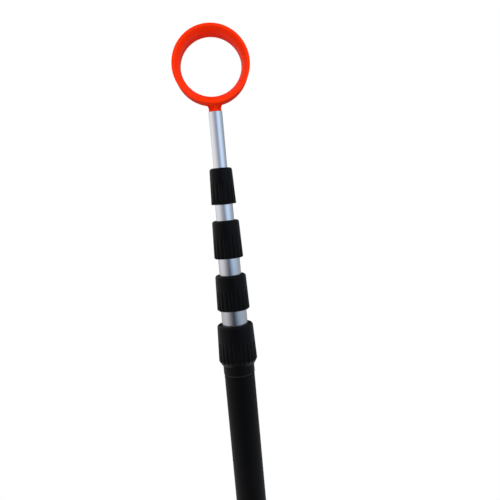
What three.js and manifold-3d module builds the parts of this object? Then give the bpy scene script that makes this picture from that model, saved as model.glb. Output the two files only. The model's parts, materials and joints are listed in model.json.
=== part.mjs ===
// A telescopic pole of five nested tubes with twist locks and a moulded ring at its tip.
// Units are millimetres. +Z runs up the pole, the ring's axis is Y, and z = 0 is the butt's flat face.
import * as THREE from "three";
import { mergeVertices } from "three/addons/utils/BufferGeometryUtils.js";
import Module from "manifold-3d";

// ---- driving dimensions ----

// The five tubes, from the tip inwards to the handle.
const TIP_RADIUS = 5;
const TUBE_STEP = 1.5; // how much the radius grows from one tube to the next
const TUBE_WALL = 0.8;
const BEAD_SHARE = 0.65; // beads and plugs fill this much of the slack between two tubes

// How the pole is stacked when it is pushed together.
const HANDLE_TOP = 456.4; // top end of the handle tube
const SECOND_END_TO_TIP_END = 52.9; // from the second tube's top end up to the tip tube's top end
const THIRD_END_TO_SECOND_END = 38.1;
const FOURTH_END_TO_THIRD_END = 40.2;
const HANDLE_END_TO_FOURTH_END = 37.1;

// The twist lock that sits on the top end of every tube but the tip.
const NUT_RISE = 12.6; // the nut's top face above the end of the tube it is screwed on
const NUT_WALL_TOP = 1.6;
const NUT_EDGE_ROUND = 1.9;
const SMOOTH_SHARE = 0.4; // upper part of the nut that carries no flutes
const FLUTE_RADIUS = 1.2;
const FLUTE_START_DEPTH = 0.2;
const RUNNING_GAP = 0.3;
const SEAT_GAP = 0.2;
const FOOT_LIP = 0.35; // thickness of the nut's lower edge
const LIP_HEIGHT = 1.6; // ferrule lip that sits on the tube's end
const LIP_SHARE = 0.4; // the lip closes all but this much of the slack round the inner tube
const NUT_HOLE_GAP = 0.5; // round the inner tube, where it leaves the nut
const CONE_BOTTOM = 5; // the nut's inner cone starts at this height
const CONE_WIDE = 2.1; // its clearance round the inner tube at the bottom and at the top
const CONE_NARROW = 1.4;
const COLLET_GRIP_GAP = 0.25;
const COLLET_BASE = 1.7; // the collet's thickness at its base and at its top
const COLLET_TIP = 1.05;
const COLLET_TAPER_FROM = 4.6;
const COLLET_TOP = 10.7;
const COLLET_SLOTS = 6;
const COLLET_SLOT_WIDTH = 0.9;
const NECK_LENGTH = 24.9; // how far the handle's ferrule reaches down the handle tube
const NECK_WALL = 0.65;
const FERRULE_WALL = 1; // on the other tubes

// The stop bead and the plug at the lower end of every sliding tube.
const BEAD_ABOVE_END = 45;
const BEAD_HEIGHT = 2;
const PLUG_FLANGE = 3;
const PLUG_SPIGOT = 8;
const PLUG_CLEARANCE = 0.5; // between a plug and the one below it

// The handle's lower end.
const BUTT_FLANGE = 5;
const BUTT_RADIUS = 14;
const BUTT_SPIGOT_TOP = 30;
const GRIP_TOP = 150;
const GRIP_RADIUS = 13.6;
const GRIP_GROOVES = 5;
const GRIP_GROOVE_PITCH = 16;
const GRIP_GROOVE_DEPTH = 0.9;
const SLEEVE_RADIUS = 11.35; // thin sleeve shrunk on the handle tube above the grip
const SLEEVE_GAP = 0.1;

// The ring head.
const RING_RADIUS = 27.5;
const RING_DEPTH = 19.6;
const MOUTH_RADIUS = 25.2; // front opening, inside the flat rim
const THROAT_RADIUS = 21.8;
const BACK_RADIUS = 22.6;
const THROAT_FROM_FRONT = 8.8;
const STEM_HEIGHT = 4.8;
const STEM_RADIUS = 4.6;
const STEM_CORE_RADIUS = 3.3;
const STEM_RIB_WIDTH = 2.2;
const STEM_FLARE = 3.2;
const SPIGOT_LENGTH = 20;

// Facets round the pole, and round the ring.
const POLE_FACETS = 28;
const PLUG_FACETS = 20;
const HOLLOW_FACETS = 24; // inside the lock nuts
const RING_FACETS = 60;

// ---- the locks' own sizes, each one named after the tube that slides through it ----

const LOCKS = [
  { slides: "tip", topRadius: 8.2, bottomRadius: 9.2, length: 26.3, flutes: 16 },
  { slides: "second", topRadius: 9.9, bottomRadius: 10.7, length: 27.8, flutes: 18 },
  { slides: "third", topRadius: 11.35, bottomRadius: 12.15, length: 26.4, flutes: 20 },
  { slides: "fourth", topRadius: 13.3, bottomRadius: 14.5, length: 30.7, flutes: 24 },
];
const SKIRT_HEIGHT = 3.6; // cone at the foot of the handle's nut
const FOOT_CHAMFER = 0.9;
const FERRULE_INSIDE_NUT = 1.2; // how far a ferrule's foot stays above its nut's foot
const SLACK = TUBE_STEP - TUBE_WALL; // between a tube and the one that slides in it, on the radius
LOCKS.forEach((lock, i) => {
  const onHandle = i === LOCKS.length - 1;
  lock.inner = TIP_RADIUS + i * TUBE_STEP;
  lock.outer = lock.inner + TUBE_STEP;
  lock.threadRadius = lock.outer + (onHandle ? NECK_WALL : FERRULE_WALL);
  lock.chamfer = onHandle ? SKIRT_HEIGHT : FOOT_CHAMFER;
  lock.ferruleBottom = onHandle ? -NECK_LENGTH : NUT_RISE - lock.length + FERRULE_INSIDE_NUT;
});
const HANDLE_RADIUS = LOCKS.at(-1).outer;

// Top end of the tube that each lock is screwed on, tip lock first.
const FOURTH_TOP = HANDLE_TOP + HANDLE_END_TO_FOURTH_END;
const THIRD_TOP = FOURTH_TOP + FOURTH_END_TO_THIRD_END;
const SECOND_TOP = THIRD_TOP + THIRD_END_TO_SECOND_END;
const TIP_TOP = SECOND_TOP + SECOND_END_TO_TIP_END;
const TOP_ENDS = [TIP_TOP, SECOND_TOP, THIRD_TOP, FOURTH_TOP, HANDLE_TOP];

// Underside of each plug: the fourth tube's rests on the butt's spigot and the rest on each other.
const PLUG_STEP = PLUG_FLANGE + PLUG_SPIGOT + PLUG_CLEARANCE;
const FOURTH_PLUG = BUTT_SPIGOT_TOP + PLUG_CLEARANCE;

// ---- materials ----

const plastic = (color) => new THREE.MeshStandardMaterial({ color, roughness: 0.55, metalness: 0 });
const SILVER = () => new THREE.MeshStandardMaterial({ color: 0xc9ccd1, roughness: 0.34, metalness: 1 });
const BLACK = () => plastic(0x141416);
const ORANGE = () => plastic(0xfa3210);
const WHITE = () => plastic(0xd9d7d0);
const RUBBER = () => new THREE.MeshStandardMaterial({ color: 0x19191b, roughness: 0.85, metalness: 0 });

// ---- from geometry to solid and back ----

const wasm = await Module();
wasm.setup();

function solidOf(geometry) {
  const bare = geometry.index ? geometry.toNonIndexed() : geometry.clone();
  bare.deleteAttribute("normal");
  bare.deleteAttribute("uv");
  const merged = mergeVertices(bare, 1e-4);
  const vertProperties = merged.attributes.position.array;
  const triVerts = new Uint32Array(merged.index.array);
  return new wasm.Manifold(new wasm.Mesh({ numProp: 3, vertProperties, triVerts }));
}

function geometryOf(solid) {
  const { vertProperties, triVerts } = solid.getMesh();
  const geometry = new THREE.BufferGeometry();
  geometry.setAttribute("position", new THREE.BufferAttribute(vertProperties, 3));
  geometry.setIndex(new THREE.BufferAttribute(triVerts, 1));
  geometry.computeVertexNormals();
  return geometry;
}

function named(name, geometry, material, z = 0) {
  const mesh = new THREE.Mesh(geometry, material);
  mesh.name = name;
  mesh.position.z = z;
  return mesh;
}

// ---- profiles ----

// Turns a closed outline, radius against height, about the Z axis.
function turned(path, facets = POLE_FACETS, curveSteps = 6) {
  const outline = path.getPoints(curveSteps);
  if (!outline[0].equals(outline.at(-1))) outline.push(outline[0].clone());
  return new THREE.LatheGeometry(outline, facets).rotateX(Math.PI / 2);
}

function outlineOf(corners) {
  const path = new THREE.Path();
  corners.forEach(([radius, height], i) => {
    if (i === 0) path.moveTo(radius, height);
    else path.lineTo(radius, height);
  });
  return path;
}

// A flat plate in the XZ plane, centred on Y, from an outline in X and Z.
function plate(outline, width, bevel) {
  const shape = new THREE.Shape(outline.getPoints(6));
  const settings = { depth: width - 2 * bevel, bevelEnabled: bevel > 0, bevelSegments: 1 };
  Object.assign(settings, { bevelSize: bevel, bevelThickness: bevel, bevelOffset: -bevel });
  return new THREE.ExtrudeGeometry(shape, settings).rotateX(Math.PI / 2).translate(0, width / 2 - bevel, 0);
}

// ---- tubes ----

// A sliding tube, its bottom end at 0, with the stop bead rolled outwards near that end.
function slidingTube(radius, length) {
  const bead = radius + BEAD_SHARE * SLACK;
  const outline = outlineOf([
    [radius - TUBE_WALL, 0],
    [radius, 0],
    [radius, BEAD_ABOVE_END],
    [bead, BEAD_ABOVE_END + BEAD_HEIGHT / 2],
    [radius, BEAD_ABOVE_END + BEAD_HEIGHT],
    [radius, length],
    [radius - TUBE_WALL, length],
  ]);
  return turned(outline);
}

function plainTube(outer, inner, length) {
  return turned(outlineOf([[inner, 0], [outer, 0], [outer, length], [inner, length]]));
}

// Plug pressed into a sliding tube's lower end. Its flange runs in the next tube's bore.
function endPlug(radius) {
  const spigot = radius - TUBE_WALL - SEAT_GAP;
  const flange = radius + BEAD_SHARE * SLACK;
  const top = PLUG_FLANGE + PLUG_SPIGOT;
  const outline = outlineOf([
    [0, 0],
    [flange - 0.6, 0],
    [flange, 0.6],
    [flange, PLUG_FLANGE],
    [spigot, PLUG_FLANGE],
    [spigot - 0.4, top],
    [0, top],
  ]);
  return new THREE.LatheGeometry(outline.getPoints(), PLUG_FACETS).rotateX(Math.PI / 2);
}

// ---- twist lock, modelled with the end of the tube it sits on at height 0 ----

// The nut's outside is one straight taper from its top edge to its foot.
function crestAt(lock, z) {
  const share = (NUT_RISE - z) / lock.length;
  return lock.topRadius + share * (lock.bottomRadius - lock.topRadius);
}

// The nut's outside before its flutes are cut: rounded top edge, straight taper, sloping foot.
function nutBlank(lock) {
  const bottom = NUT_RISE - lock.length;
  const crestFoot = bottom + lock.chamfer;
  const thinnest = lock.threadRadius + RUNNING_GAP + FOOT_LIP;
  const foot = Math.max(thinnest, crestAt(lock, crestFoot) - lock.chamfer);
  const path = new THREE.Path();
  path.moveTo(0, bottom);
  path.lineTo(foot, bottom);
  path.lineTo(crestAt(lock, crestFoot), crestFoot);
  path.lineTo(crestAt(lock, NUT_RISE - NUT_EDGE_ROUND), NUT_RISE - NUT_EDGE_ROUND);
  path.quadraticCurveTo(lock.topRadius - 0.2, NUT_RISE, lock.topRadius - NUT_EDGE_ROUND, NUT_RISE);
  path.lineTo(0, NUT_RISE);
  const blank = new THREE.LatheGeometry(path.getPoints(3), 2 * lock.flutes);
  return solidOf(blank.rotateX(Math.PI / 2));
}

// What is hollow in the nut, from the top: the hole for the sliding tube, the cone that squeezes
// the collet, and the bore that screws on the ferrule.
function nutHollow(lock) {
  const outline = outlineOf([
    [0, NUT_RISE - lock.length - 1],
    [lock.threadRadius + RUNNING_GAP, NUT_RISE - lock.length - 1],
    [lock.threadRadius + RUNNING_GAP, SEAT_GAP + LIP_HEIGHT + SEAT_GAP],
    [lock.inner + CONE_WIDE, SEAT_GAP + LIP_HEIGHT + SEAT_GAP],
    [lock.inner + CONE_WIDE, CONE_BOTTOM],
    [lock.inner + CONE_NARROW, NUT_RISE - NUT_WALL_TOP],
    [lock.inner + NUT_HOLE_GAP, NUT_RISE - NUT_WALL_TOP],
    [lock.inner + NUT_HOLE_GAP, NUT_RISE - 0.5],
    [lock.inner + NUT_HOLE_GAP + 1, NUT_RISE + 0.5],
    [0, NUT_RISE + 0.5],
  ]);
  return solidOf(new THREE.LatheGeometry(outline.getPoints(), HOLLOW_FACETS).rotateX(Math.PI / 2));
}

// Upright round cutter. The nut tapers past it, so its groove is deepest at the foot.
function fluteCutter(lock) {
  const bottom = NUT_RISE - lock.length - 1;
  const top = NUT_RISE - SMOOTH_SHARE * lock.length;
  const axis = crestAt(lock, top) - FLUTE_START_DEPTH + FLUTE_RADIUS;
  const cutter = new THREE.CylinderGeometry(FLUTE_RADIUS, FLUTE_RADIUS, top - bottom, 9);
  cutter.rotateX(Math.PI / 2).translate(0, -axis, (top + bottom) / 2);
  return solidOf(cutter);
}

function lockNut(lock) {
  let nut = nutBlank(lock).subtract(nutHollow(lock));
  const cutter = fluteCutter(lock);
  for (let i = 0; i < lock.flutes; i += 1) {
    nut = nut.subtract(cutter.rotate([0, 0, (360 * i) / lock.flutes]));
  }
  return geometryOf(nut);
}

// Threaded sleeve fixed over the outer tube's end. Its lip is what stops the bead below.
function threadFerrule(lock) {
  const top = SEAT_GAP + LIP_HEIGHT;
  const lip = lock.inner + LIP_SHARE * SLACK;
  const outline = outlineOf([
    [lock.outer + SEAT_GAP, lock.ferruleBottom],
    [lock.threadRadius, lock.ferruleBottom],
    [lock.threadRadius, top],
    [lip, top],
    [lip, SEAT_GAP],
    [lock.outer + SEAT_GAP, SEAT_GAP],
  ]);
  return turned(outline);
}

// Split ring that the nut's cone squeezes onto the inner tube. One slot runs right through it.
function clampCollet(lock) {
  const bottom = SEAT_GAP + LIP_HEIGHT + RUNNING_GAP;
  const bore = lock.inner + COLLET_GRIP_GAP;
  const base = lock.inner + COLLET_BASE;
  const outline = outlineOf([
    [bore, bottom],
    [base, bottom],
    [base, COLLET_TAPER_FROM],
    [lock.inner + COLLET_TIP, COLLET_TOP],
    [bore, COLLET_TOP],
  ]);
  let collet = solidOf(turned(outline));
  for (let i = 0; i < COLLET_SLOTS; i += 1) {
    const slotBottom = i === 0 ? bottom - 1 : bottom + 2.6;
    const height = COLLET_TOP + 1 - slotBottom;
    const slot = new THREE.BoxGeometry(4, COLLET_SLOT_WIDTH, height);
    slot.translate(lock.inner + 1.5, 0, slotBottom + height / 2);
    slot.rotateZ((2 * Math.PI * (i + 0.25)) / COLLET_SLOTS);
    collet = collet.subtract(solidOf(slot));
  }
  return geometryOf(collet);
}

// ---- handle ----

function buttCap() {
  const spigot = HANDLE_RADIUS - TUBE_WALL - SEAT_GAP;
  const path = new THREE.Path();
  path.moveTo(0, 0);
  path.lineTo(BUTT_RADIUS - 2, 0);
  path.quadraticCurveTo(BUTT_RADIUS, 0, BUTT_RADIUS, 2);
  path.lineTo(BUTT_RADIUS, BUTT_FLANGE);
  path.lineTo(spigot, BUTT_FLANGE);
  path.lineTo(spigot - 0.5, BUTT_SPIGOT_TOP);
  path.lineTo(0, BUTT_SPIGOT_TOP);
  return new THREE.LatheGeometry(path.getPoints(3), POLE_FACETS).rotateX(Math.PI / 2);
}

function handGrip() {
  const bottom = BUTT_FLANGE + RUNNING_GAP;
  const bore = HANDLE_RADIUS + SEAT_GAP;
  const middle = (bottom + GRIP_TOP) / 2;
  const corners = [[bore, bottom], [BUTT_RADIUS - 0.4, bottom], [BUTT_RADIUS, bottom + 1.5]];
  corners.push([GRIP_RADIUS, bottom + 18]);
  for (let i = 0; i < GRIP_GROOVES; i += 1) {
    const z = middle + (i - (GRIP_GROOVES - 1) / 2) * GRIP_GROOVE_PITCH;
    corners.push([GRIP_RADIUS, z - 1.6], [GRIP_RADIUS - GRIP_GROOVE_DEPTH, z], [GRIP_RADIUS, z + 1.6]);
  }
  corners.push([GRIP_RADIUS, GRIP_TOP - 10], [SLEEVE_RADIUS + 0.5, GRIP_TOP], [bore, GRIP_TOP]);
  return turned(outlineOf(corners));
}

// ---- ring head, modelled with the stem's foot at height 0 ----

const RING_CENTRE = STEM_HEIGHT + RING_RADIUS;

// The ring's section: a flat front rim, an inner wall that swells to the throat, a plain outside.
function ringSolid() {
  const front = -RING_DEPTH / 2;
  const back = RING_DEPTH / 2;
  const throat = front + THROAT_FROM_FRONT;
  const path = new THREE.Path();
  path.moveTo(RING_RADIUS - 1, back);
  path.lineTo(RING_RADIUS - 0.3, back - 0.8);
  path.lineTo(RING_RADIUS, front + 0.6);
  path.lineTo(RING_RADIUS - 0.5, front);
  path.lineTo(MOUTH_RADIUS + 0.3, front);
  path.quadraticCurveTo(THROAT_RADIUS, front + 0.42 * THROAT_FROM_FRONT, THROAT_RADIUS, throat);
  path.quadraticCurveTo(THROAT_RADIUS, back - 4, BACK_RADIUS - 0.1, back - 0.8);
  path.lineTo(BACK_RADIUS + 0.7, back);
  const profile = path.getPoints(4).reverse();
  profile.push(profile[0].clone());
  const ring = new THREE.LatheGeometry(profile, RING_FACETS);
  return solidOf(ring).translate([0, 0, RING_CENTRE]);
}

// A stem rib's outline in X and Z, flaring with a hollow curve into the ring above.
function stemRibOutline() {
  const flareFrom = STEM_HEIGHT - STEM_FLARE;
  const flareTo = STEM_HEIGHT + 1.35;
  const widest = STEM_RADIUS + STEM_FLARE;
  const path = new THREE.Path();
  path.moveTo(-STEM_RADIUS, 0);
  path.lineTo(STEM_RADIUS, 0);
  path.lineTo(STEM_RADIUS, flareFrom);
  path.quadraticCurveTo(STEM_RADIUS, flareTo - 1, widest, flareTo);
  path.lineTo(widest, flareTo + 1.2);
  path.lineTo(-widest, flareTo + 1.2);
  path.lineTo(-widest, flareTo);
  path.quadraticCurveTo(-STEM_RADIUS, flareTo - 1, -STEM_RADIUS, flareFrom);
  return path;
}

function ringHead() {
  const outline = stemRibOutline();
  const sideRibs = plate(outline, STEM_RIB_WIDTH, 0.3);
  const frontRibs = plate(outline, STEM_RIB_WIDTH, 0.3).rotateZ(Math.PI / 2);
  const spigotRadius = TIP_RADIUS - TUBE_WALL - SEAT_GAP;
  const core = outlineOf([
    [0, -SPIGOT_LENGTH],
    [spigotRadius - 0.8, -SPIGOT_LENGTH],
    [spigotRadius, 1.2 - SPIGOT_LENGTH],
    [spigotRadius, 0],
    [STEM_RADIUS, SEAT_GAP],
    [STEM_RADIUS, 1],
    [STEM_CORE_RADIUS, 1.6],
    [STEM_CORE_RADIUS, STEM_HEIGHT - 1.4],
    [STEM_CORE_RADIUS + 2, STEM_HEIGHT + 1],
    [0, STEM_HEIGHT + 1],
  ]);
  const post = new THREE.LatheGeometry(core.getPoints(), 24).rotateX(Math.PI / 2);
  const lift = [0, 0, SEAT_GAP];
  const ribs = solidOf(sideRibs).add(solidOf(frontRibs)).translate(lift);
  return geometryOf(ringSolid().add(solidOf(post)).add(ribs));
}

// ---- assembly ----

const pole = new THREE.Group();
pole.name = "ring_pole";

LOCKS.forEach((lock, i) => {
  const number = i + 1;
  const plugBottom = FOURTH_PLUG + (LOCKS.length - number) * PLUG_STEP;
  const tubeBottom = plugBottom + PLUG_FLANGE + SEAT_GAP;
  const section = new THREE.Group();
  const tube = slidingTube(lock.inner, TOP_ENDS[i] - tubeBottom);
  section.add(named(`${lock.slides}_tube`, tube, SILVER(), tubeBottom));
  section.add(named(`end_plug_${number}`, endPlug(lock.inner), WHITE(), plugBottom));
  const twistLock = new THREE.Group();
  twistLock.position.z = TOP_ENDS[number];
  twistLock.add(named(`lock_nut_${number}`, lockNut(lock), BLACK()));
  twistLock.add(named(`clamp_collet_${number}`, clampCollet(lock), WHITE()));
  twistLock.add(named(`thread_ferrule_${number}`, threadFerrule(lock), BLACK()));
  pole.add(section, twistLock);
});

const handleBottom = BUTT_FLANGE + SEAT_GAP;
const handleTube = plainTube(HANDLE_RADIUS, HANDLE_RADIUS - TUBE_WALL, HANDLE_TOP - handleBottom);
const sleeveBottom = GRIP_TOP + RUNNING_GAP;
const sleeveTop = HANDLE_TOP - NECK_LENGTH - 0.9;
const sleeve = plainTube(SLEEVE_RADIUS, HANDLE_RADIUS + SLEEVE_GAP, sleeveTop - sleeveBottom);
pole.add(named("handle_tube", handleTube, BLACK(), handleBottom));
pole.add(named("handle_sleeve", sleeve, RUBBER(), sleeveBottom));
pole.add(named("hand_grip", handGrip(), RUBBER()));
pole.add(named("butt_cap", buttCap(), RUBBER()));
pole.add(named("ring_head", ringHead(), ORANGE(), TIP_TOP));

export default pole;
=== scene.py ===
import json
import math

import bmesh
import bpy
from mathutils import Matrix, Vector


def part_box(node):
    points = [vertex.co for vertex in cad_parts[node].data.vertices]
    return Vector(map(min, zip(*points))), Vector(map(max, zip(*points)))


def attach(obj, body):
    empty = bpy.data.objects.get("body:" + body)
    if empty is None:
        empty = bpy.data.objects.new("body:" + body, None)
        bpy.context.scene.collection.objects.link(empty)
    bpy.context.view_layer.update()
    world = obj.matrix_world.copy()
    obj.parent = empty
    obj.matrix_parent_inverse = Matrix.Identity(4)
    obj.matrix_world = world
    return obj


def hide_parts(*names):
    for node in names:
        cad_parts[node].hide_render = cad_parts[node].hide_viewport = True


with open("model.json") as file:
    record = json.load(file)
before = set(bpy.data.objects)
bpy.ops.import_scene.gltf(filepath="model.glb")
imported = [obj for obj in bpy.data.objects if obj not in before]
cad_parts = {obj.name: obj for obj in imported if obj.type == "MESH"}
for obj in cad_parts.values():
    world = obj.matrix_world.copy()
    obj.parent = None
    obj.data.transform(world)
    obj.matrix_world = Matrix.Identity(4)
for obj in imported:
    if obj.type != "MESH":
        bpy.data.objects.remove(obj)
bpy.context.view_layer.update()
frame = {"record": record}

MM = 0.001
WELD = 0.003 * MM  # points closer than this become one
BODY_OF = {node: body for body, nodes in frame["record"]["behaviour"]["bodies"].items() for node in nodes}

# ---- sizes, in millimetres, as in the frame ----

TUBE_WALL = 0.8
HANDLE_RADIUS = 11.0
SLEEVE_RADIUS = 11.35
GRIP_RADIUS = 13.6
BUTT_RADIUS = 14.0

# The locks from the tip down: the tube that slides through, and the nut's shape.
LOCKS = (
    dict(tube="tip_tube", inner=5.0, thread=7.5, top=8.2, foot=9.2, flutes=16, chamfer=0.4),
    dict(tube="second_tube", inner=6.5, thread=9.0, top=9.9, foot=10.7, flutes=18, chamfer=0.5),
    dict(tube="third_tube", inner=8.0, thread=10.5, top=11.35, foot=12.15, flutes=20, chamfer=0.9),
    dict(tube="fourth_tube", inner=9.5, thread=11.65, top=13.3, foot=14.5, flutes=24, chamfer=3.6),
)
THREAD_PITCH = 2.0
THREAD_DEPTH = 0.35
NECK_THREAD_DEPTH = 0.04
SPIGOT_SLACK = 0.2
BEAD_HEIGHT = 46.0  # of a tube's stop bead, above its lower end
PLUG_FLANGE = 3.0
LIP_GAP = 0.28
LIP_THICKNESS = 1.6
COLLET_GAP = 0.25
COLLET_WALL = 1.7  # from the inner tube to the collet's foot
COLLET_SLOTS = 6
SLOT_WIDTH = 0.9
FLUTE_RADIUS = 1.2
FLUTE_DEPTH = 0.25  # at a flute's upper end
FLUTE_RUN_OUT = 1.8
NUT_EDGE = 1.9  # rounding of a nut's top edge
SMOOTH_SHARE = 0.4  # upper part of a nut, above its flutes
PER_FLUTE = 12  # vertices from one flute to the next

GROOVE_PITCH = 16.0
GROOVE_DEPTH = 0.9

RING_RADIUS = 27.5
MOUTH_RADIUS = 25.2
THROAT_RADIUS = 21.8
THROAT_DEPTH = 8.8  # behind the front rim
BACK_RADIUS = 22.6
STEM_HEIGHT = 4.8
STEM_RADIUS = 4.6
STEM_FLARE = 3.2
STEM_CORE = 3.3
RIB_WIDTH = 2.2


# ---- modelling helpers ----

def deselect():
    bpy.ops.object.select_all(action="DESELECT")


def only(piece):
    deselect()
    piece.select_set(True)
    bpy.context.view_layer.objects.active = piece


def span(node):
    """Lowest and highest z of a CAD node, in millimetres."""
    low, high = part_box(node)
    return low.z / MM, high.z / MM


def rounded(corners, steps=4):
    """Points of a closed outline from (radius, height, rounding) corners."""
    points = []
    for i, (radius, height, rounding) in enumerate(corners):
        here = Vector((radius, height))
        if not rounding:
            points.append(here)
            continue
        before = here + (Vector(corners[i - 1][:2]) - here).normalized() * rounding
        after = here + (Vector(corners[(i + 1) % len(corners)][:2]) - here).normalized() * rounding
        for k in range(steps + 1):
            t = k / steps
            points.append(before * (1 - t) ** 2 + here * (2 * t * (1 - t)) + after * t * t)
    return points


def bend(start, pull, end, steps=10):
    """Corners along a curve from start to end that leaves and arrives towards pull."""
    a, b, c = Vector(start), Vector(pull), Vector(end)
    corners = []
    for k in range(steps + 1):
        t = k / steps
        point = a * (1 - t) ** 2 + b * (2 * t * (1 - t)) + c * t * t
        corners.append((point.x, point.y, 0))
    return corners


def arch(radius, bulge, middle, half, steps=12):
    """Corners of a bead that stands bulge proud of a wall, or of a groove where bulge is negative."""
    turns = [math.pi * k / steps for k in range(steps + 1)]
    return [(radius + bulge * math.sin(turn), middle - half * math.cos(turn), 0) for turn in turns]


def drawn(name, spots, closed):
    """Draws a line through the spots, point by point, and leaves it selected in edit mode."""
    deselect()
    bpy.ops.mesh.primitive_plane_add(size=MM, location=spots[0])
    bpy.ops.object.transform_apply(location=True, rotation=False, scale=False)
    piece = bpy.context.object
    piece.name = name
    bpy.ops.object.mode_set(mode="EDIT")
    bpy.ops.mesh.merge(type="CENTER")
    path = list(spots) + ([spots[0]] if closed else [])
    for here, there in zip(path, path[1:]):
        bpy.ops.mesh.extrude_vertices_move(TRANSFORM_OT_translate={"value": there - here})
    bpy.ops.mesh.select_all(action="SELECT")
    return piece


def turned(name, corners, steps=96, ring_centre=None):
    """Spins an outline of (radius, height, rounding) corners into a closed body.

    It turns about Z, or about the Y axis through ring_centre, where height runs along Y.
    """
    points = rounded(corners)
    if ring_centre:
        spots = [Vector((0, p.y * MM, p.x * MM)) + Vector(ring_centre) for p in points]
    else:
        spots = [Vector((p.x * MM, 0, p.y * MM)) for p in points]
    piece = drawn(name, spots, closed=points[0].x > 0)
    axis = (0, 1, 0) if ring_centre else (0, 0, 1)
    bpy.ops.mesh.spin(steps=steps, angle=math.tau, center=ring_centre or (0, 0, 0), axis=axis)
    bpy.ops.mesh.select_all(action="SELECT")
    bpy.ops.mesh.remove_doubles(threshold=WELD)
    bpy.ops.mesh.normals_make_consistent(inside=False)
    bpy.ops.object.mode_set(mode="OBJECT")
    return piece


def applied(piece, kind, **settings):
    """Adds a modifier with its settings, and applies it."""
    only(piece)
    modifier = piece.modifiers.new(kind.lower(), kind)
    for key, value in settings.items():
        setattr(modifier, key, value)
    bpy.ops.object.modifier_apply(modifier=modifier.name)


def merged(piece, other, operation="UNION"):
    """Joins another body to a piece, or cuts it out, and removes the other."""
    applied(piece, "BOOLEAN", object=other, operation=operation, solver="EXACT")
    bpy.data.objects.remove(other)


def fit(piece, node, material, smooth_to=32):
    """Shades a finished piece, and puts it in the place of the CAD node that it stands for."""
    only(piece)
    bpy.ops.object.shade_smooth_by_angle(angle=math.radians(smooth_to))
    piece.data.materials.clear()
    piece.data.materials.append(material)
    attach(piece, BODY_OF[node])
    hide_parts(node)


# ---- materials ----

def linear(hex_colour):
    """An sRGB hex colour as linear red, green, blue and alpha."""
    parts = [int(hex_colour[i:i + 2], 16) / 255 for i in (1, 3, 5)]
    return [c / 12.92 if c <= 0.04045 else ((c + 0.055) / 1.055) ** 2.4 for c in parts] + [1.0]


def add_node(tree, kind, links=None, **settings):
    """Adds a node. Settings are its own, and links sets or joins its inputs by name or number."""
    made = tree.nodes.new(kind)
    for key, value in settings.items():
        setattr(made, key, value)
    for key, value in (links or {}).items():
        if isinstance(value, bpy.types.NodeSocket):
            tree.links.new(value, made.inputs[key])
        else:
            made.inputs[key].default_value = value
    return made


def new_material(name, **values):
    """A new material, its Principled shader with plain values set, and its Object coordinates."""
    material = bpy.data.materials.new(name)
    material.use_nodes = True
    tree = material.node_tree
    shader = tree.nodes["Principled BSDF"]
    for key, value in values.items():
        shader.inputs[key.replace("_", " ")].default_value = value
    return material, tree, shader, add_node(tree, "ShaderNodeTexCoord").outputs["Object"]


def anodised_aluminium():
    """Drawn tube, etched and clear anodised: satin silver, with faint lines along it from the die."""
    material, tree, shader, place = new_material("clear anodised aluminium", Metallic=1.0)
    along = add_node(tree, "ShaderNodeMapping", {"Vector": place, "Scale": (1, 1, 0.012)})
    # Die lines are some 0.2 mm apart, and are drawn 0.7 mm apart so that they show.
    links = {"Vector": along.outputs[0], "Scale": 1 / (0.7 * MM), "Detail": 3.0}
    lines = add_node(tree, "ShaderNodeTexNoise", links)
    cloud = add_node(tree, "ShaderNodeTexNoise", {"Vector": place, "Scale": 1 / (30 * MM), "Detail": 2.0})
    links = {0: lines.outputs[0], 6: linear("#D6D8DC"), 7: linear("#E6E8EC")}
    tone = add_node(tree, "ShaderNodeMix", links, data_type="RGBA")
    tree.links.new(tone.outputs[2], shader.inputs["Base Color"])
    rough = add_node(tree, "ShaderNodeMapRange", {"Value": cloud.outputs[0], "To Min": 0.16, "To Max": 0.22})
    tree.links.new(rough.outputs[0], shader.inputs["Roughness"])
    links = {"Height": lines.outputs[0], "Strength": 0.15, "Distance": 0.02 * MM}
    bump = add_node(tree, "ShaderNodeBump", links)
    tree.links.new(bump.outputs[0], shader.inputs["Normal"])
    return material


def moulded(name, dark, light, roughness, grain, depth, drift=14, **values):
    """Plastic or rubber out of a mould or a hot sleeve: a fine grain, and a slow drift of tone.

    grain, depth and drift are in millimetres.
    """
    material, tree, shader, place = new_material(name, **values)
    skin = add_node(tree, "ShaderNodeTexNoise", {"Vector": place, "Scale": 1 / (grain * MM), "Detail": 4.0})
    slow = add_node(tree, "ShaderNodeTexNoise", {"Vector": place, "Scale": 1 / (drift * MM), "Detail": 3.0})
    links = {0: slow.outputs[0], 6: linear(dark), 7: linear(light)}
    tone = add_node(tree, "ShaderNodeMix", links, data_type="RGBA")
    tree.links.new(tone.outputs[2], shader.inputs["Base Color"])
    links = {"Value": skin.outputs[0], "To Min": roughness - 0.05, "To Max": roughness + 0.05}
    rough = add_node(tree, "ShaderNodeMapRange", links)
    tree.links.new(rough.outputs[0], shader.inputs["Roughness"])
    links = {"Height": skin.outputs[0], "Strength": 0.4, "Distance": depth * MM}
    bump = add_node(tree, "ShaderNodeBump", links)
    tree.links.new(bump.outputs[0], shader.inputs["Normal"])
    return material


ALUMINIUM = anodised_aluminium()
# Glass-filled nylon out of a spark-eroded mould: near black, with a soft gloss at its edges.
NYLON = moulded(
    "black filled nylon", "#020203", "#050506", 0.4, 0.45, 0.05, IOR=1.53, Specular_IOR_Level=0.12
)
# Polypropylene, coloured right through: strong orange red, smooth but not polished.
ORANGE = moulded(
    "orange polypropylene", "#FC2B02", "#FF3706", 0.36, 0.8, 0.01, IOR=1.49, Specular_IOR_Level=0.07
)
# Acetal left in its own colour: milky white and slippery.
ACETAL = moulded("natural acetal", "#D8D6CE", "#E4E2DB", 0.36, 0.6, 0.01, IOR=1.48)
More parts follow.
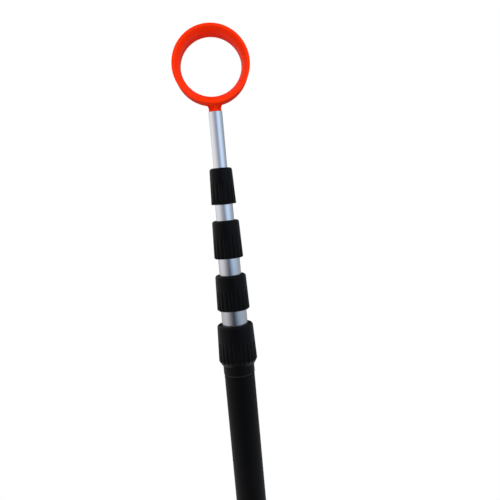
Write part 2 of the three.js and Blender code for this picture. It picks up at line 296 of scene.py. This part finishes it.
# Powder coat on the handle tube: an even black with a slight orange peel.
COATING = moulded("black powder coat", "#0C0C0E", "#141417", 0.45, 1.2, 0.03, IOR=1.5)
# Vinyl sleeve shrunk on by heat: matt, drawn smooth over the tube.
SLEEVE = moulded(
    "black shrunk vinyl", "#020203", "#040405", 0.45, 0.9, 0.04, IOR=1.53, Specular_IOR_Level=0.1
)
# Thermoplastic rubber with a sanded mould's grain: the most matt of the blacks.
RUBBER = moulded("black thermoplastic rubber", "#0C0C0D", "#151517", 0.7, 0.6, 0.14, IOR=1.52)


# ---- tubes and the plugs in their lower ends ----

def sliding_tube(lock):
    """Drawn tube with its end edges broken and a stop bead rolled outwards near its lower end."""
    outer = lock["inner"]
    inner = outer - TUBE_WALL
    bottom, top = span(lock["tube"])
    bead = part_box(lock["tube"])[1].x / MM - outer
    middle = bottom + BEAD_HEIGHT
    corners = [(inner, bottom, 0.1), (outer, bottom, 0.2)]
    corners += arch(outer, bead, middle, 1.0)
    corners += [(outer, top, 0.2), (inner, top, 0.1)]
    corners += arch(inner, 0.8 * bead, middle, 0.8)[::-1]
    piece = turned(f"{lock['tube']}_drawn", corners)
    fit(piece, lock["tube"], ALUMINIUM)


def end_plug(lock, number):
    """Acetal plug: a flange that runs in the next tube's bore, and a spigot with three crush ribs."""
    bottom, top = span(f"end_plug_{number}")
    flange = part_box(f"end_plug_{number}")[1].x / MM
    spigot = lock["inner"] - TUBE_WALL - SPIGOT_SLACK
    shoulder = bottom + PLUG_FLANGE
    corners = [(0, bottom, 0), (flange - 0.6, bottom, 0), (flange, bottom + 0.6, 0.15)]
    corners += [(flange, shoulder, 0.15), (spigot, shoulder, 0.1)]
    for height in (4.8, 6.6, 8.4):
        corners += arch(spigot, 0.12, bottom + height, 0.4, steps=6)
    corners += [(spigot, top - 0.9, 0.1), (spigot - 0.5, top, 0.2)]
    corners += [(2.2, top, 0.2), (1.8, top - 5, 0.2), (0, top - 5, 0)]
    fit(turned(f"end_plug_{number}_moulded", corners, steps=64), f"end_plug_{number}", ACETAL)


# ---- twist locks ----

def thread_turns(crest, depth, low, high):
    """Corners of round-rooted thread turns cut into a wall of crest radius, going up."""
    corners = []
    middle = low + THREAD_PITCH / 2
    while middle + 0.7 <= high:
        corners += [(crest, middle - 0.65, 0.08), (crest - depth, middle - 0.25, 0.12)]
        corners += [(crest - depth, middle + 0.25, 0.12), (crest, middle + 0.65, 0.08)]
        middle += THREAD_PITCH
    return corners


def thread_ferrule(lock, number, outer_tube):
    """Threaded sleeve on the end of the outer tube, with the lip that stops the bead below."""
    name = f"thread_ferrule_{number}"
    bottom, top = span(name)
    crest = lock["thread"]
    bore = outer_tube + 0.2
    lip = lock["inner"] + LIP_GAP
    seat = top - LIP_THICKNESS
    # The handle's ferrule shows below its nut as a neck, which is all but smooth.
    depth = NECK_THREAD_DEPTH if number == 4 else THREAD_DEPTH
    corners = [(bore, bottom, 0.1), (crest, bottom, 0.25)]
    corners += thread_turns(crest, depth, bottom + 0.8, top - 1.2)
    corners += [(crest, top, 0.3), (lip, top, 0.15), (lip, seat, 0.1), (bore, seat, 0.1)]
    fit(turned(f"{name}_moulded", corners), name, NYLON)


def clamp_collet(lock, number):
    """Split acetal ring with a taper outside. Six slots let it close on the inner tube."""
    name = f"clamp_collet_{number}"
    bottom, top = span(name)
    inner = lock["inner"]
    bore = inner + COLLET_GAP
    outside = inner + COLLET_WALL
    corners = [(bore, bottom, 0.1), (outside, bottom, 0.25), (outside, bottom + 2.5, 0.3)]
    corners += [(inner + 1.05, top, 0.2), (bore, top, 0.12)]
    collet = turned(f"{name}_moulded", corners)
    slots = None
    for i in range(COLLET_SLOTS):
        slot_bottom = bottom - 1 if i == 0 else bottom + 2.6
        height = top + 1 - slot_bottom
        turn = math.tau * (i + 0.25) / COLLET_SLOTS
        out = (inner + 1.2) * MM
        middle = (out * math.cos(turn), out * math.sin(turn), (slot_bottom + height / 2) * MM)
        deselect()
        bpy.ops.mesh.primitive_cube_add(size=1, location=middle, rotation=(0, 0, turn))
        bpy.context.object.dimensions = (2 * COLLET_WALL * MM, SLOT_WIDTH * MM, height * MM)
        bpy.ops.object.transform_apply(location=True, rotation=True, scale=True)
        if slots:
            bpy.context.object.select_set(True)
            slots.select_set(True)
            bpy.context.view_layer.objects.active = slots
            bpy.ops.object.join()
        else:
            slots = bpy.context.object
    merged(collet, slots, "DIFFERENCE")
    fit(collet, name, ACETAL)


def raised(name, levels, count, group_of):
    """Raises a ring of vertices level by level into a closed wall.

    A level is its height and one radius for each group of vertices round the ring.
    """
    height, radii = levels[0]
    deselect()
    bpy.ops.mesh.primitive_circle_add(vertices=count, radius=radii[0] * MM, location=(0, 0, height * MM))
    bpy.ops.object.transform_apply(location=True, rotation=False, scale=False)
    piece = bpy.context.object
    piece.name = name
    bpy.ops.object.mode_set(mode="EDIT")
    bpy.ops.mesh.select_all(action="SELECT")
    for next_height, next_radii in levels[1:] + levels[:1]:
        rise = (0, 0, (next_height - height) * MM)
        bpy.ops.mesh.extrude_region_move(TRANSFORM_OT_translate={"value": rise})
        mesh = bmesh.from_edit_mesh(piece.data)
        ring = [v.index for v in mesh.verts if v.select]
        mesh.verts.ensure_lookup_table()
        groups = [group_of(mesh.verts[i].co) for i in ring]
        for group, (old, new) in enumerate(zip(radii, next_radii)):
            if abs(new / old - 1) < 1e-9:
                continue
            bpy.ops.mesh.select_all(action="DESELECT")
            mesh = bmesh.from_edit_mesh(piece.data)
            mesh.verts.ensure_lookup_table()
            for i, of_group in zip(ring, groups):
                mesh.verts[i].select = of_group == group
            bmesh.update_edit_mesh(piece.data)
            size = (new / old, new / old, 1)
            bpy.ops.transform.resize(value=size, center_override=(0, 0, 0))
        mesh = bmesh.from_edit_mesh(piece.data)
        mesh.verts.ensure_lookup_table()
        for v in mesh.verts:
            v.select = False
        for i in ring:
            mesh.verts[i].select = True
        mesh.select_flush(True)
        bmesh.update_edit_mesh(piece.data)
        height, radii = next_height, next_radii
    bpy.ops.mesh.select_all(action="SELECT")
    bpy.ops.mesh.remove_doubles(threshold=WELD)
    bpy.ops.mesh.normals_make_consistent(inside=False)
    bpy.ops.object.mode_set(mode="OBJECT")
    return piece


def lock_nut(lock, number):
    """Tapered nut: a smooth band above, and flutes below that grow deeper down to a scalloped foot."""
    name = f"lock_nut_{number}"
    bottom, top = span(name)
    length = top - bottom
    flutes = lock["flutes"]
    count = flutes * PER_FLUTE
    flute_top = top - SMOOTH_SHARE * length
    bore = lock["thread"] + 0.3
    groups = PER_FLUTE // 2 + 1

    def crest(z):
        return lock["top"] + (top - z) / length * (lock["foot"] - lock["top"])

    def sunk(z, group):
        """Radius of the fluted wall for a group of vertices, by its distance from a flute's middle."""
        aside = math.tau * crest(z) / count * group
        if z >= flute_top or aside >= FLUTE_RADIUS:
            return crest(z)
        depth = FLUTE_DEPTH + crest(z) - crest(flute_top)
        run_out = max(0, 1 - (flute_top - z) / FLUTE_RUN_OUT)
        depth *= math.sqrt(1 - run_out * run_out)
        sag = FLUTE_RADIUS - math.sqrt(FLUTE_RADIUS ** 2 - aside ** 2)
        return crest(z) - max(0, depth - sag)

    chamfer_top = bottom + lock["chamfer"]
    foot_radius = max(bore + 0.35, crest(chamfer_top) - lock["chamfer"])
    levels = [(bottom, [bore] * groups), (bottom, [foot_radius - 0.1] * groups)]
    for k in range(7):
        share = k / 6
        z = bottom + 0.1 + share * (lock["chamfer"] - 0.1)
        cone = foot_radius + (crest(chamfer_top) - foot_radius) * share
        levels.append((z, [min(cone, sunk(z, group)) for group in range(groups)]))
    straight = [chamfer_top + 0.2 + (flute_top - 2 - chamfer_top) * k / 6 for k in range(7)]
    run_outs = [flute_top - FLUTE_RUN_OUT * (1 - k / 6) ** 2 for k in range(7)]
    for z in straight + run_outs + [flute_top + 0.4]:
        levels.append((z, [sunk(z, group) for group in range(groups)]))
    for k in range(9):
        turn = math.pi / 2 * k / 8
        z = top - NUT_EDGE + NUT_EDGE * math.sin(turn)
        radius = crest(top - NUT_EDGE) - NUT_EDGE + NUT_EDGE * math.cos(turn)
        levels.append((z, [radius] * groups))
    inner = lock["inner"]
    hollow = [(inner + 1.0, top), (inner + 0.62, top - 0.12), (inner + 0.5, top - 0.5)]
    hollow += [(inner + 0.5, top - 1.5), (inner + 0.6, top - 1.6), (inner + 1.4, top - 1.6)]
    hollow += [(inner + 2.1, top - 7.6), (inner + 2.1, top - 10.6), (bore, top - 10.6)]
    z = top - 12.2
    while z - 1.2 > bottom + 1.4:
        hollow += [(bore, z), (bore + 0.22, z - 0.3), (bore + 0.22, z - 0.8), (bore, z - 1.1)]
        z -= THREAD_PITCH
    levels += [(z, [radius] * groups) for radius, z in hollow]

    def group_of(place):
        """How many vertices away the nearest flute's middle is. The first flute faces -Y."""
        turn = math.atan2(place.y, place.x) + math.pi / 2
        steps = round(turn / math.tau * count) % PER_FLUTE
        return min(steps, PER_FLUTE - steps)

    nut = raised(f"{name}_moulded", levels, count, group_of)
    fit(nut, name, NYLON, smooth_to=62)


TUBES_FROM_TIP = [lock["inner"] for lock in LOCKS] + [HANDLE_RADIUS]
for number, lock in enumerate(LOCKS, start=1):
    sliding_tube(lock)
    end_plug(lock, number)
    thread_ferrule(lock, number, TUBES_FROM_TIP[number])
    clamp_collet(lock, number)
    lock_nut(lock, number)


# ---- handle ----

def handle_tube():
    """Drawn tube with its end edges broken, coated black."""
    bottom, top = span("handle_tube")
    inner = HANDLE_RADIUS - TUBE_WALL
    corners = [(inner, bottom, 0.1), (HANDLE_RADIUS, bottom, 0.2)]
    corners += [(HANDLE_RADIUS, top, 0.2), (inner, top, 0.1)]
    fit(turned("handle_tube_drawn", corners), "handle_tube", COATING)


def handle_sleeve():
    """Thin sleeve with a rolled end and three faint rings under it, where it shrank unevenly."""
    bottom, top = span("handle_sleeve")
    inner = HANDLE_RADIUS + 0.1
    corners = [(inner, bottom, 0.04), (SLEEVE_RADIUS, bottom, 0.08)]
    for below in (6.2, 4.4, 2.6):
        corners += arch(SLEEVE_RADIUS, -0.09, top - below, 0.45, steps=8)
    corners += [(SLEEVE_RADIUS, top, 0.1), (inner, top, 0.04)]
    fit(turned("handle_sleeve_shrunk", corners), "handle_sleeve", SLEEVE)


def hand_grip():
    """Rubber grip: a flared lower end, five round grooves for the hand and a tapered upper end."""
    bottom, top = span("hand_grip")
    bore = HANDLE_RADIUS + 0.2
    middle = (bottom + top) / 2
    corners = [(bore, bottom, 0.1), (BUTT_RADIUS - 0.05, bottom, 0.5)]
    corners += bend((BUTT_RADIUS, bottom + 2), (BUTT_RADIUS - 0.1, bottom + 10), (GRIP_RADIUS, bottom + 18))
    for i in range(-2, 3):
        groove = middle + GROOVE_PITCH * i
        corners += arch(GRIP_RADIUS, -GROOVE_DEPTH, groove, 1.9)
        if i < 2:
            corners += arch(GRIP_RADIUS, -GROOVE_DEPTH / 3, groove + 4.2, 0.7, steps=6)
    corners += bend((GRIP_RADIUS, top - 10), (GRIP_RADIUS, top - 3), (SLEEVE_RADIUS + 0.6, top - 0.4))
    corners += [(SLEEVE_RADIUS + 0.3, top, 0.1), (bore, top, 0.1)]
    fit(turned("hand_grip_moulded", corners), "hand_grip", RUBBER)


def butt_cap():
    """Rubber cap: a round-edged foot with a ring moulded in its face, and a spigot up the tube."""
    bottom, top = span("butt_cap")
    spigot = HANDLE_RADIUS - TUBE_WALL - SPIGOT_SLACK
    corners = [(0, bottom + 0.5, 0), (7.2, bottom + 0.5, 0.3), (7.7, bottom, 0.3)]
    corners += [(BUTT_RADIUS, bottom, 2.2), (BUTT_RADIUS, bottom + 5, 0.4), (spigot, bottom + 5, 0.2)]
    for height in (11, 17, 23):
        corners += arch(spigot, 0.14, bottom + height, 0.6, steps=6)
    corners += [(spigot, top - 1.5, 0.2), (spigot - 0.8, top, 0.3), (0, top, 0)]
    fit(turned("butt_cap_moulded", corners), "butt_cap", RUBBER)


handle_tube()
handle_sleeve()
hand_grip()
butt_cap()


# ---- ring head ----

def stem_rib(name, foot, reach, quarter_turn):
    """A flat rib right across the stem that sweeps out into the ring above with hollow curves."""
    half = STEM_RADIUS - 0.07  # so that its ends sink into the stem's collar
    root = half + STEM_FLARE
    side = [(half, foot + 0.2, 0)]
    side += bend((half, reach - 4.8), (half, reach - 1.1), (root, reach), steps=8)
    side += [(root, reach + 1.2, 0)]
    outline = [(x, z) for x, z, _ in side] + [(-x, z) for x, z, _ in reversed(side)]
    across = -RIB_WIDTH / 2 * MM
    if quarter_turn:
        spots = [Vector((across, x * MM, z * MM)) for x, z in outline]
    else:
        spots = [Vector((x * MM, across, z * MM)) for x, z in outline]
    rib = drawn(name, spots, closed=True)
    bpy.ops.mesh.remove_doubles(threshold=WELD)
    bpy.ops.mesh.edge_face_add()
    width = (RIB_WIDTH * MM, 0, 0) if quarter_turn else (0, RIB_WIDTH * MM, 0)
    bpy.ops.mesh.extrude_region_move(TRANSFORM_OT_translate={"value": width})
    bpy.ops.mesh.select_all(action="SELECT")
    bpy.ops.mesh.normals_make_consistent(inside=False)
    bpy.ops.object.mode_set(mode="OBJECT")
    applied(rib, "BEVEL", width=0.35 * MM, segments=3, limit_method="ANGLE", angle_limit=math.radians(50))
    return rib


def ring_head():
    """One moulding: a bell-mouthed ring, a short stem with crossed ribs, and a spigot in the tube."""
    low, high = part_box("ring_head")
    centre = (0, 0, high.z - RING_RADIUS * MM)
    foot = span("tip_tube")[1]
    front, back = low.y / MM, high.y / MM
    throat = front + THROAT_DEPTH
    corners = [(BACK_RADIUS + 0.3, back, 0.25), (RING_RADIUS - 0.4, back, 0.7)]
    corners += [(RING_RADIUS, front + 0.9, 0.3), (RING_RADIUS, front, 0.55)]
    lip = (MOUTH_RADIUS - 0.05, front + 0.05)
    corners += bend((MOUTH_RADIUS + 0.25, front), lip, (MOUTH_RADIUS - 0.2, front + 0.4), 4)
    swell = (THROAT_RADIUS, front + 4.0)
    corners += bend((MOUTH_RADIUS - 0.3, front + 0.6), swell, (THROAT_RADIUS, throat), 14)
    opening = (THROAT_RADIUS, back - 4)
    corners += bend((THROAT_RADIUS, throat + 0.4), opening, (BACK_RADIUS - 0.2, back - 0.7), 10)
    ring = turned("ring_head_moulded", corners, steps=160, ring_centre=centre)
    reach = foot + STEM_HEIGHT + 1.5
    spigot = LOCKS[0]["inner"] - TUBE_WALL - SPIGOT_SLACK
    spigot_end = foot - 20
    post = [(0, spigot_end, 0), (spigot - 0.8, spigot_end, 0), (spigot, spigot_end + 1.2, 0.3)]
    post += [(spigot, foot + 0.1, 0), (STEM_RADIUS, foot + 0.2, 0.15), (STEM_RADIUS, foot + 1.0, 0.3)]
    post += [(STEM_CORE, foot + 1.7, 0.4)]
    post += bend((STEM_CORE, foot + 3), (STEM_CORE, foot + STEM_HEIGHT), (STEM_CORE + 2.4, reach), 6)
    post += [(0, reach, 0)]
    merged(ring, turned("stem_post", post, steps=48))
    for quarter_turn in (False, True):
        merged(ring, stem_rib("stem_rib", foot, reach, quarter_turn))
    fit(ring, "ring_head", ORANGE)


ring_head()


# ---- floor, light and camera ----

# Sizes of the floor, in metres. It fades out from SOLID_TO to GONE_AT, measured from its middle.
FLOOR_RADIUS = 0.56
FLOOR_LEVEL = -0.2 * MM
SOLID_TO = 0.25
GONE_AT = 0.55


def pale_floor():
    """A pale disc that fades out at its edge."""
    deselect()
    middle = (0, 0, FLOOR_LEVEL)
    bpy.ops.mesh.primitive_circle_add(vertices=96, radius=FLOOR_RADIUS, fill_type="NGON", location=middle)
    bpy.ops.object.transform_apply(location=True, rotation=False, scale=False)
    floor = bpy.context.object
    floor.name = "floor"
    material, tree, shader, place = new_material("pale studio floor", Roughness=0.8)
    shader.inputs["Base Color"].default_value = linear("#F4F4F4")
    flat = add_node(tree, "ShaderNodeVectorMath", {0: place}, operation="LENGTH")
    links = {"Value": flat.outputs["Value"], "From Min": SOLID_TO, "From Max": GONE_AT}
    fade = add_node(tree, "ShaderNodeMapRange", links)
    clear = add_node(tree, "ShaderNodeBsdfTransparent")
    links = {0: fade.outputs[0], 1: shader.outputs[0], 2: clear.outputs[0]}
    mix = add_node(tree, "ShaderNodeMixShader", links)
    tree.links.new(mix.outputs[0], tree.nodes["Material Output"].inputs["Surface"])
    floor.data.materials.append(material)
    floor.visible_glossy = False  # keeps its glare out of the black plastic


def softbox(name, place, aim, width, height, glow):
    """A white area light whose face shines as brightly as glow times white.

    It is not seen itself and not mirrored in any surface, so the tubes mirror only the room.
    """
    light = bpy.data.lights.new(name, "AREA")
    light.shape = "RECTANGLE"
    light.size = width
    light.size_y = height
    light.energy = glow * math.pi * width * height
    box = bpy.data.objects.new(name, light)
    box.location = place
    box.rotation_euler = (Vector(aim) - Vector(place)).to_track_quat("-Z", "Y").to_euler()
    box.visible_camera = False
    box.visible_glossy = False
    bpy.context.scene.collection.objects.link(box)


# The room's walls and its window by height, from straight down, -1, to straight up, 1.
DOWN = (-0.95, "#202224")
ROOM_IN_FRONT = (
    DOWN, (-0.85, "#E8E8EA"), (-0.3, "#2C3036"), (-0.2, "#262A30"),
    (-0.04, "#15181D"), (0.02, "#5A5D6A"), (0.1, "#A4A6B4"),
)
ROOM_LEFT = (
    DOWN, (-0.85, "#FFFFFF"), (-0.25, "#C0C1C3"), (-0.13, "#BDBEC0"), (0.0, "#F0F0F2"), (0.1, "#FCFCFD"),
)
ROOM_RIGHT = (DOWN, (-0.85, "#F0F4F8"), (-0.25, "#A0A9B3"), (-0.13, "#A8B0B9"), (0.1, "#AAB1B8"))
WINDOW = (
    (-0.17, "#000000"), (-0.13, "#4A5B6C"), (-0.03, "#6E8498"),
    (0.08, "#ACCDED"), (0.5, "#ACCDED"), (0.8, "#000000"),
)


def backdrop():
    """White for the camera, and a room for light and reflections.

    The room is dark on the camera's side, white on the left and a cool grey on the right, with a blue
    window between the front and the right. It is dark again straight behind, so that the ring's inner
    wall keeps its colour where it is seen at a slant.
    """
    world = bpy.data.worlds.new("studio")
    bpy.context.scene.world = world
    world.use_nodes = True
    tree = world.node_tree
    way = add_node(tree, "ShaderNodeTexCoord").outputs["Generated"]
    x, y, z = add_node(tree, "ShaderNodeSeparateXYZ", {0: way}).outputs
    height = add_node(tree, "ShaderNodeMapRange", {"Value": z, "From Min": -1.0}).outputs[0]
    walls = []
    for stops in (ROOM_IN_FRONT, ROOM_LEFT, ROOM_RIGHT, WINDOW):
        wall = add_node(tree, "ShaderNodeValToRGB", {0: height})
        elements = wall.color_ramp.elements
        elements.remove(elements[1])
        elements[0].position = (stops[0][0] + 1) / 2
        elements[0].color = linear(stops[0][1])
        for level, colour in stops[1:]:
            elements.new((level + 1) / 2).color = linear(colour)
        walls.append(wall.outputs[0])
    front, left, right, window = walls

    smooth = dict(interpolation_type="SMOOTHSTEP")
    # The turn away from the camera's side, from 0 in front to pi behind.
    aside = add_node(tree, "ShaderNodeMath", {0: x}, operation="ABSOLUTE").outputs[0]
    ahead = add_node(tree, "ShaderNodeMath", {0: y, 1: -1.0}, operation="MULTIPLY").outputs[0]
    turn = add_node(tree, "ShaderNodeMath", {0: aside, 1: ahead}, operation="ARCTAN2").outputs[0]
    edge = {"Value": x, "From Min": -0.03, "From Max": 0.03}
    to_right = add_node(tree, "ShaderNodeMapRange", edge).outputs[0]
    quarter = {"Value": turn, "From Max": math.radians(92)}
    to_side = add_node(tree, "ShaderNodeMapRange", quarter, **smooth).outputs[0]
    opens = {"Value": turn, "From Min": math.radians(-8), "From Max": math.radians(40)}
    closes = {"Value": turn, "From Min": math.radians(112), "From Max": math.radians(40)}
    opens = add_node(tree, "ShaderNodeMapRange", opens, **smooth).outputs[0]
    closes = add_node(tree, "ShaderNodeMapRange", closes, **smooth).outputs[0]
    in_window = add_node(tree, "ShaderNodeMath", {0: opens, 1: closes}, operation="MULTIPLY").outputs[0]
    in_window = add_node(tree, "ShaderNodeMath", {0: in_window, 1: to_right}, operation="MULTIPLY").outputs[0]

    colours = dict(data_type="RGBA")
    side = add_node(tree, "ShaderNodeMix", {0: to_right, 6: left, 7: right}, **colours).outputs[2]
    behind = {"Value": turn, "From Min": math.radians(142), "From Max": math.radians(168), "To Max": 0.9}
    behind = add_node(tree, "ShaderNodeMapRange", behind, **smooth).outputs[0]
    links = {0: behind, 6: side, 7: linear("#000000")}
    side = add_node(tree, "ShaderNodeMix", links, **colours).outputs[2]
    light = add_node(tree, "ShaderNodeMix", {0: to_side, 6: front, 7: side}, **colours).outputs[2]
    links = {0: in_window, 6: light, 7: window}
    light = add_node(tree, "ShaderNodeMix", links, blend_type="ADD", **colours).outputs[2]
    room = tree.nodes["Background"]
    tree.links.new(light, room.inputs["Color"])
    ray = add_node(tree, "ShaderNodeLightPath").outputs["Is Camera Ray"]
    white = add_node(tree, "ShaderNodeBackground", {"Color": (1, 1, 1, 1)})
    mix = add_node(tree, "ShaderNodeMixShader", {0: ray, 1: room.outputs[0], 2: white.outputs[0]})
    tree.links.new(mix.outputs[0], tree.nodes["World Output"].inputs["Surface"])


MIDDLE = (0, 0, 0.55)
RING_CENTRE = (0, 0, 0.65)
pale_floor()
backdrop()
softbox("key", (0.3, -1.2, 1.35), MIDDLE, 1.4, 1.0, 3.2)
softbox("bounce", (0.0, -0.8, -0.05), RING_CENTRE, 1.4, 0.7, 0.4)
bpy.context.scene.view_settings.view_transform = "Standard"

CAMERA_PLACE = (0.0003, -0.4266, 0.5656)
PAN = math.radians(2.12)
TILT = math.radians(-5.74)
ROLL = math.radians(-5.10)
camera = bpy.data.cameras.new("camera")
camera.lens = 41.76
camera_object = bpy.data.objects.new("camera", camera)
camera_object.matrix_world = (
    Matrix.Translation(CAMERA_PLACE)
    @ Matrix.Rotation(-PAN, 4, "Z")
    @ Matrix.Rotation(math.pi / 2 + TILT, 4, "X")
    @ Matrix.Rotation(ROLL, 4, "Z")
)
bpy.context.scene.collection.objects.link(camera_object)
bpy.context.scene.camera = camera_object
